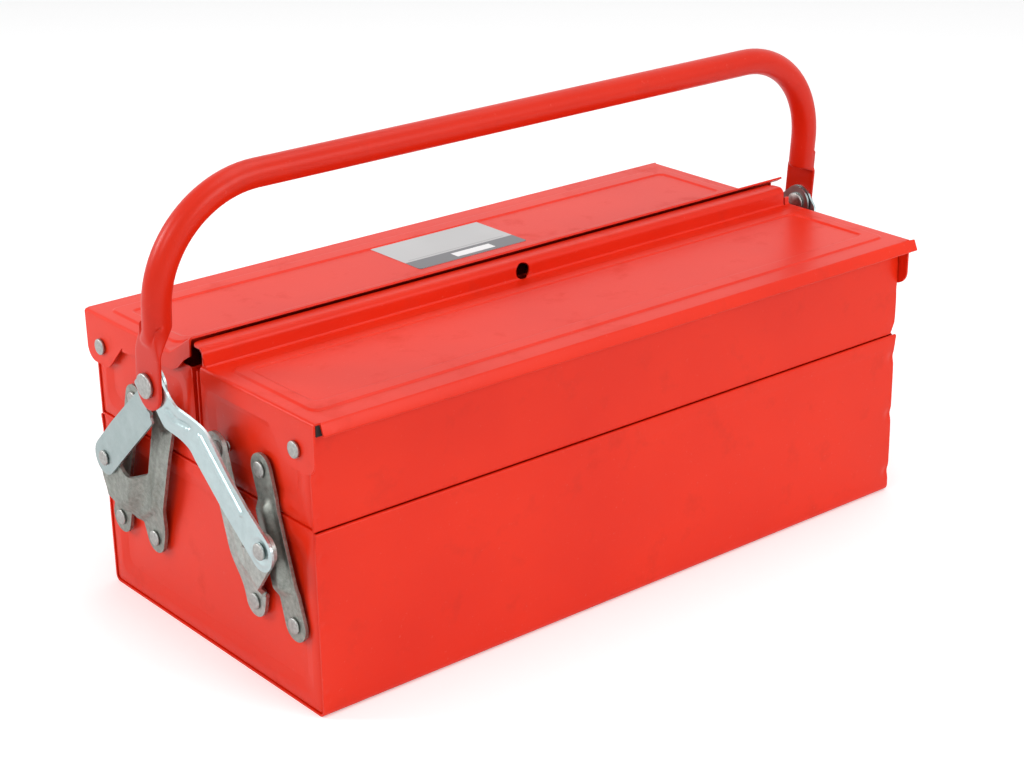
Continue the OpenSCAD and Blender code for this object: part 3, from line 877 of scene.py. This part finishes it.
arm_cuts = lines((-9, 9, 0.9), (18, 24, 0.8), (24, arm_l - 38, 2.6), (arm_l - 38, arm_l - 7, 0.7))
for side_name, handle_hole_r, plate in (("front", 4.05, zinc), ("back", 4.7, grey_zinc)):
    for end_name, end in (("left", LEFT), ("right", RIGHT)):
        name = side_name + "_arm_" + end_name
        strap(
            name, side_name + "_arms", [name], arm_pin, handle_pin, arm_outlines[side_name],
            [circle(0, 0, rivet_hole_r), circle(0, arm_l, handle_hole_r)],
            lines((-9, 9, 0.6)), arm_cuts, arm_height(side_name, end), arm_t, plate,
        )

# ---- Handle ------------------------------------------------------------------------
# A bent steel tube in red enamel, made a slightly deeper red than the sheet's as painted shade. Its ends are
# pressed flat, with a scoop where the round tube runs out.
shaded_tube_enamel = painted("shaded_tube_enamel", (0.6, 0.015, 0.003), (0.68, 0.021, 0.004))
tube_r = 7.6
grip_h = 100
bend_r = 59
tab_face = {end: arm_face + eye_out["front"] + end_out[end] for end in (LEFT, RIGHT)}
tab_t = 2.4
leg_x = tab_face[LEFT] + tab_t - tube_r + 0.8
lean = math.radians(5)
around = 48


def tube_section(half_w, half_t, power):
    """A closed section of the tube, from a circle (power 2) to a flat bar."""
    found = []
    for k in range(around):
        a = 2 * math.pi * k / around
        c, d = math.cos(a), math.sin(a)
        x = math.copysign(abs(c) ** (2 / power), c) * half_t
        y = math.copysign(abs(d) ** (2 / power), d) * half_w
        found.append((x, y))
    return found


round_section = tube_section(tube_r, tube_r, 2)


def half_handle(end, tab_w, tab_y, run_out, soft):
    """Sections along the handle from its flat end up to the middle of the grip."""
    flat_x = tab_face[end] + tab_t / 2
    found = []
    for k in range(1, 13):
        a = math.pi / 2 * k / 12
        z = -2 - tab_w / 2 * math.cos(a)
        section = tube_section(tab_w / 2 * math.sin(a), tab_t / 2, 5)
        found.append([(flat_x + x, tab_y + y, z) for x, y in section])
    for z in (6, 12):
        found.append([(flat_x + x, tab_y + y, z) for x, y in tube_section(tab_w / 2, tab_t / 2, 5)])
    for k in range(25):
        z = run_out - 6 + 22 * k / 24
        t = smooth((z - run_out + soft / 3) / soft)
        width = tab_w / 2 + (tube_r - tab_w / 2) * t
        ring = []
        for x, y in tube_section(width, 1, 5 - 3 * t):
            if x > 0:
                rise = smooth((z - run_out - 1 - 11 * abs(y / width) ** 3) / 3)
            else:
                rise = smooth((z - run_out + soft / 5) / soft)
            flat, full = flat_x + x * tab_t / 2, leg_x + x * tube_r
            ring.append((flat + (full - flat) * rise, tab_y * (1 - t) + y, z))
        found.append(ring)
    for k in range(25):
        a = math.pi / 2 * k / 24
        found.append([
            (leg_x - bend_r + (bend_r + x) * math.cos(a), y, grip_h - bend_r + (bend_r + x) * math.sin(a))
            for x, y in round_section
        ])
    for x0 in (leg_x - bend_r - 30, leg_x - bend_r - 80, 30):
        found.append([(x0, y, grip_h + x) for x, y in round_section])
    return found


rings = half_handle(RIGHT, tab_w=22, tab_y=2.6, run_out=22.5, soft=3)
left_rings = half_handle(LEFT, tab_w=23, tab_y=0, run_out=19.5, soft=15)
rings += [[(-x, y, z) for x, y, z in ring] for ring in reversed(left_rings)]
mesh = bmesh.new()
made = []
for ring in rings:
    row = []
    for x, y, z in ring:
        out = y * math.cos(lean) - z * math.sin(lean)
        up = y * math.sin(lean) + z * math.cos(lean)
        spot = handle_pin + Vector((out, up))
        row.append(mesh.verts.new((x * MM, spot.x * MM, spot.y * MM)))
    made.append(row)
for a, b in zip(made, made[1:]):
    for i in range(around):
        j = (i + 1) % around
        mesh.faces.new((a[i], a[j], b[j], b[i]))
mesh.faces.new(made[0][::-1])
mesh.faces.new(made[-1])
bmesh.ops.recalc_face_normals(mesh, faces=mesh.faces[:])
tube = bpy.data.meshes.new("handle_tube")
mesh.to_mesh(tube)
finished("handle_tube", tube, 0, shaded_tube_enamel, "handle", ["handle"], 0)

# ---- Rivets and tray spacers ---------------------------------------------------------
# Turned steel rivets, plated, each set with a flat-domed head outside and a
# flattened tail inside. Turned rings hold the straps off the trays' ends.


facets = 32
rivet_shank_r = 2.6


def turned(name, profile, metal, closed=False):
    """A part turned along X from a profile of (x, radius)."""
    mesh = bmesh.new()
    made = []
    for x, r in profile:
        if r < 0.01:
            made.append([mesh.verts.new((x * MM, 0, 0))])
        else:
            made.append([mesh.verts.new((x * MM, y * MM, z * MM)) for y, z in circle(0, 0, r, facets)])
    for a, b in zip(made, made[1:] + made[:1] if closed else made[1:]):
        for i in range(facets):
            j = (i + 1) % facets
            if len(a) == 1:
                mesh.faces.new((a[0], b[j], b[i]))
            elif len(b) == 1:
                mesh.faces.new((a[i], a[j], b[0]))
            else:
                mesh.faces.new((a[i], a[j], b[j], b[i]))
    bmesh.ops.recalc_face_normals(mesh, faces=mesh.faces[:])
    data = bpy.data.meshes.new(name)
    mesh.to_mesh(data)
    data.materials.append(metal)
    data.shade_smooth()
    return bpy.data.objects.new(name, data)


def rivet_blank(name, length, shank_r, head_r, head_h):
    """A rivet along X with its head's seat at 0."""
    tail_h = 1.5
    profile = [(-length - tail_h, 0), (-length - tail_h, head_r * 0.8)]
    profile += [(-length - tail_h * 0.7, head_r * 0.9), (-length, head_r * 0.88)]
    profile += [(-length, shank_r), (0, shank_r), (0, head_r * 0.84), (0.45, head_r)]
    profile += [(head_h - 0.7, head_r), (head_h - 0.4, head_r - 0.12), (head_h - 0.2, head_r - 0.4)]
    profile += [(head_h - 0.1, head_r - 0.9), (head_h - 0.04, head_r * 0.6)]
    profile += [(head_h, head_r * 0.25), (head_h, 0)]
    return turned(name, profile, rivet_zinc)


def spacer_blank(name, length, r):
    """A turned ring that holds a strap off its panel, along X from 0."""
    bore_r = 2.7
    profile = [(0, bore_r), (0, r - 0.3), (0.3, r)]
    profile += [(length - 0.3, r), (length, r - 0.3), (length, bore_r)]
    return turned(name, profile, steel, True)


setting = bpy.data.node_groups.new("set_rivets", "GeometryNodeTree")
sockets = {}
for label, kind in (
    ("Seats", "NodeSocketGeometry"), ("Rivet", "NodeSocketObject"),
    ("Seed", "NodeSocketInt"), ("Plating", "NodeSocketMaterial"),
):
    sockets[label] = setting.interface.new_socket(label, in_out="INPUT", socket_type=kind).identifier
setting.interface.new_socket("Rivets", in_out="OUTPUT", socket_type="NodeSocketGeometry")
into = setting.nodes.new("NodeGroupInput")
outof = setting.nodes.new("NodeGroupOutput")
taken = setting.nodes.new("GeometryNodeObjectInfo")
setting.links.new(into.outputs["Rivet"], taken.inputs["Object"])
spin = setting.nodes.new("FunctionNodeRandomValue")
spin.data_type = "FLOAT"
spin.inputs[3].default_value = 6.28
setting.links.new(into.outputs["Seed"], spin.inputs["Seed"])
facing = setting.nodes.new("GeometryNodeInputNamedAttribute")
facing.data_type = "FLOAT"
facing.inputs["Name"].default_value = "facing"
turn = setting.nodes.new("ShaderNodeCombineXYZ")
setting.links.new(spin.outputs[1], turn.inputs["X"])
setting.links.new(facing.outputs["Attribute"], turn.inputs["Z"])
put = setting.nodes.new("GeometryNodeInstanceOnPoints")
setting.links.new(into.outputs["Seats"], put.inputs["Points"])
setting.links.new(taken.outputs["Geometry"], put.inputs["Instance"])
setting.links.new(turn.outputs[0], put.inputs["Rotation"])
real = setting.nodes.new("GeometryNodeRealizeInstances")
setting.links.new(put.outputs[0], real.inputs[0])
plated = setting.nodes.new("GeometryNodeSetMaterial")
setting.links.new(real.outputs[0], plated.inputs["Geometry"])
setting.links.new(into.outputs["Plating"], plated.inputs["Material"])
setting.links.new(plated.outputs[0], outof.inputs[0])


def turned_set(name, body, nodes, kinds, metal):
    """kinds: for each kind on this body, its blank, its seat's distance out, pins, sides and ends."""
    mesh = bmesh.new()
    for seed, (rivet, seat_x, pins, sides, ends) in enumerate(kinds):
        seats = [(end * seat_x, side * p.x, p.y) for p in pins for side in sides for end in ends]
        data = bpy.data.meshes.new("seats")
        data.from_pydata([(x * MM, y * MM, z * MM) for x, y, z in seats], [], [])
        facing_out = data.attributes.new("facing", "FLOAT", "POINT")
        for i, seat in enumerate(seats):
            facing_out.data[i].value = 0 if seat[0] > 0 else math.pi
        holder = bpy.data.objects.new("seats", data)
        scene.collection.objects.link(holder)
        scene.collection.objects.link(rivet)
        tool = holder.modifiers.new("rivets", "NODES")
        tool.node_group = setting
        tool[sockets["Rivet"]] = rivet
        tool[sockets["Seed"]] = seed + 3
        tool[sockets["Plating"]] = metal
        graph = bpy.context.evaluated_depsgraph_get()
        made = bpy.data.meshes.new_from_object(holder.evaluated_get(graph), depsgraph=graph)
        mesh.from_mesh(made)
        scene.collection.objects.unlink(rivet)
        bpy.data.objects.remove(holder)
    data = bpy.data.meshes.new(name)
    mesh.to_mesh(data)
    finished(name, data, 0, metal, body, nodes, 0)


inner_x = half_l - 2.8
slide = 0.1
strap_rivet = rivet_blank("strap_rivet", strap_face + slide - inner_x, rivet_shank_r, 4.4, 1.6)
dish_rivet = rivet_blank("dish_rivet", dish_face + slide - inner_x, rivet_shank_r, 4.6, 1.3)
hinge_rivet = rivet_blank("hinge_rivet", lid_half + slide - inner_x, rivet_shank_r, 4.5, 2.2)
arm_grip = arm_face + slide - lobe_face + strap_t
front_arm_rivet = rivet_blank("front_arm_rivet", arm_grip, rivet_shank_r, 4.5, 2.2)
back_arm_rivet = rivet_blank("back_arm_rivet", arm_grip, rivet_shank_r, 4.3, 1.6)
handle_grip = eye_out["front"] + tab_t + slide - eye_out["back"] + arm_t + slide
handle_rivet = rivet_blank("handle_rivet", handle_grip, 4, 6.7, 2.6)
hinge = Vector((hinge_y, hinge_z))
outer_tray_pin = outer_base_pin + link_v
both = (LEFT, RIGHT)
turned_set("base_rivet_set", "base", ["base_rivets"], [
    (strap_rivet, strap_face + slide, [inner_base_pin, outer_base_pin], (FRONT, BACK), both),
], rivet_zinc)
panel_x = half_l - 0.3
strap_spacer = spacer_blank("strap_spacer", strap_face - strap_t - slide - panel_x, 4.4)
dish_spacer = spacer_blank("dish_spacer", dish_face - strap_t - slide - panel_x, 3.5)
for side_name, side in (("front", FRONT), ("back", BACK)):
    tray = side_name + "_tray"
    turned_set(tray + "_rivet_set", tray, [side_name + "_tray_rivets", side_name + "_lid_rivets"], [
        (strap_rivet, strap_face + slide, [outer_tray_pin], [side], both),
        (dish_rivet, dish_face + slide, [inner_tray_pin], [side], both),
        (hinge_rivet, lid_half + slide, [hinge], [side], both),
    ], rivet_zinc)
    turned_set(tray + "_spacer_set", tray, [side_name + "_tray_spacers"], [
        (strap_spacer, panel_x, [outer_tray_pin], [side], both),
        (dish_spacer, panel_x, [inner_tray_pin], [side], both),
    ], steel)
    arm_rivet = front_arm_rivet if side_name == "front" else back_arm_rivet
    turned_set(side_name + "_arm_rivet_set", side_name + "_cranks", [side_name + "_arm_rivets"], [
        (arm_rivet, arm_face + slide, [arm_pin], [side], both),
    ], rivet_zinc)
turned_set("handle_rivet_set", "handle", ["handle_rivet_left", "handle_rivet_right"], [
    (handle_rivet, tab_face[end] + tab_t + slide, [handle_pin], [FRONT], [end]) for end in both
], rivet_zinc)

# ---- Label ------------------------------------------------------------------------
# A plain printed film on the back lid: silver white, a grey band along its front
# edge and a white box, with no lettering.
film = bpy.data.materials.new("label_film")
film.use_nodes = True
tree = film.node_tree
finish = tree.nodes["Principled BSDF"]
marks = add_group(tree, handled)
label_low, label_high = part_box("lid_label")
label_low.x -= 3 * MM
label_high.y += 5 * MM
position = tree.nodes.new("ShaderNodeTexCoord").outputs["Object"]
divided = tree.nodes.new("ShaderNodeSeparateXYZ")
tree.links.new(position, divided.inputs[0])


def inside(value, low, high):
    above = tree.nodes.new("ShaderNodeMath")
    above.operation = "GREATER_THAN"
    above.inputs[1].default_value = low
    below = tree.nodes.new("ShaderNodeMath")
    below.operation = "LESS_THAN"
    below.inputs[1].default_value = high
    both = tree.nodes.new("ShaderNodeMath")
    both.operation = "MULTIPLY"
    for node in (above, below):
        tree.links.new(value, node.inputs[0])
    tree.links.new(above.outputs[0], both.inputs[0])
    tree.links.new(below.outputs[0], both.inputs[1])
    return both.outputs[0]


def patch(x0, x1, y0, y1):
    both = tree.nodes.new("ShaderNodeMath")
    both.operation = "MULTIPLY"
    tree.links.new(inside(divided.outputs["X"], label_low.x + x0 * MM, label_low.x + x1 * MM), both.inputs[0])
    tree.links.new(inside(divided.outputs["Y"], label_low.y + y0 * MM, label_low.y + y1 * MM), both.inputs[1])
    return both.outputs[0]


tone = blend_colour(tree, remap(tree, marks.outputs["Tone"], 0.35, 0.65), (0.5, 0.5, 0.5), (0.58, 0.58, 0.58))
tone = blend_colour(tree, patch(0, 79, 0, 14), tone, (0.16, 0.16, 0.17))
tone = blend_colour(tree, patch(30, 58, 3.5, 10.5), tone, (0.85, 0.85, 0.85))
tone = blend_colour(tree, patch(4, 74, 16, 16.8), tone, (0.35, 0.35, 0.36))
tree.links.new(tone, finish.inputs["Base Color"])
finish.inputs["Roughness"].default_value = 0.4
finish.inputs["Metallic"].default_value = 0.1
mesh = bmesh.new()
corners = [(label_low.x, label_low.y), (label_high.x, label_low.y)]
corners += [(label_high.x, label_high.y), (label_low.x, label_high.y)]
corner_r = 2 * MM
film_outline = rounded([(x, y, corner_r) for x, y in corners])
mesh.faces.new([mesh.verts.new((x, y, label_high.z)) for x, y in film_outline])
film_mesh = bpy.data.meshes.new("label_film")
mesh.to_mesh(film_mesh)
finished("label_film", film_mesh, 0.2, film, "back_lid", ["lid_label"], 0.05)
